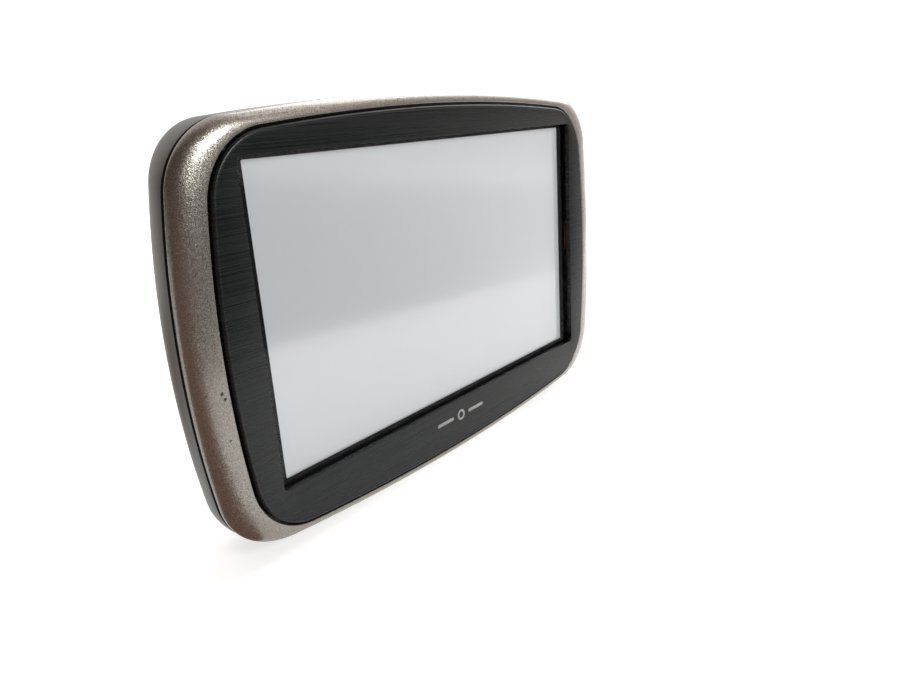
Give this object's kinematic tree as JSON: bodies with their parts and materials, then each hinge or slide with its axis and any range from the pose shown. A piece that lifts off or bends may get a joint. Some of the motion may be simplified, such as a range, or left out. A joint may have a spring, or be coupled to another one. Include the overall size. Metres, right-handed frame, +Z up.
{
  "type": "portable gps navigator",
  "caption": "Hand-sized satellite navigator with a recessed wide screen, black bezel, metallic trim band, swept rear cover, power button and card slot.",
  "frame": {"origin": "centre of the case's footprint, on the surface the unit stands on", "axes": "+X to the right seen from the front, the screen faces -Y, +Z up"},
  "size_m": [0.1436, 0.0206, 0.09],
  "materials": {
    "bezel_plastic": "satin black with fine brushed hairlines",
    "band_paint": "satin champagne metallic with fine sparkle",
    "cover_plastic": "satin grey with light scuffs",
    "gasket_foam": "matte",
    "touch_glass": "clear satin film with dark border",
    "screen_glass": "pale grey, switched off",
    "tray_steel": "thin stamped sheet",
    "white_film": "matte white film",
    "clear_acrylic": "polished acrylic",
    "led_white": "moulded lens",
    "chassis_plastic": "glass-filled, lightly textured",
    "board_green": "solder mask",
    "can_steel": "tin plated",
    "chip_black": "moulded epoxy",
    "antenna_ceramic": "fired ceramic",
    "silver_plate": "silvered",
    "socket_nylon": "moulded nylon",
    "flex_film": "amber polyimide",
    "battery_pouch": "laminated foil",
    "wire_sleeve": "satin sleeve",
    "speaker_steel": "zinc plated",
    "cone_paper": "pressed black paper",
    "cloth_black": "fine mesh cloth",
    "button_plastic": "satin black",
    "label_paper": "blank silver-grey label",
    "contact_gold": "gold flashed",
    "screw_black": "black zinc"
  },
  "bodies": {
    "housing": {"front_bezel": "bezel_plastic", "window_gasket": "gasket_foam", "trim_band": "band_paint", "seam_gasket": "gasket_foam", "rear_cover": "cover_plastic", "rating_label": "label_paper", "touch_panel": "touch_glass", "touch_flex": "flex_film", "lcd_glass": "screen_glass", "lcd_flex": "flex_film", "lcd_frame": "tray_steel", "diffuser_sheet": "white_film", "light_guide": "clear_acrylic", "reflector_sheet": "white_film", "backlight_leds": "led_white", "mid_chassis": "chassis_plastic", "main_board": "board_green", "processor_can": "can_steel", "processor_chip": "chip_black", "memory_chips": "chip_black", "gps_can": "can_steel", "gps_chip": "chip_black", "antenna_block": "antenna_ceramic", "antenna_plate": "silver_plate", "flex_sockets": "socket_nylon", "battery": "battery_pouch", "battery_pad": "gasket_foam", "battery_lead": "wire_sleeve", "battery_socket": "socket_nylon", "speaker_basket": "speaker_steel", "speaker_magnet": "speaker_steel", "speaker_cone": "cone_paper", "speaker_cloth": "cloth_black", "switch_body": "socket_nylon", "usb_shell": "can_steel", "usb_tongue": "chip_black", "card_shell": "can_steel", "card_spring": "tray_steel", "contact_block": "chip_black", "contact_pins": "contact_gold", "case_screws": "screw_black", "board_screws": "tray_steel"},
    "power_key": {"power_button": "button_plastic", "switch_stem": "chip_black"},
    "card_tray": {"card_slider": "chip_black"}
  },
  "joints": [
    {"name": "power_press", "type": "slide", "parent": "housing", "child": "power_key", "axis": [0, 0, -1], "range_m": [0, 0.00035], "stiffness_N_per_m": 800},
    {"name": "card_push", "type": "slide", "parent": "housing", "child": "card_tray", "axis": [-1, 0, 0], "range_m": [0, 0.0012], "stiffness_N_per_m": 300, "deforming": ["card_spring"]}
  ]
}
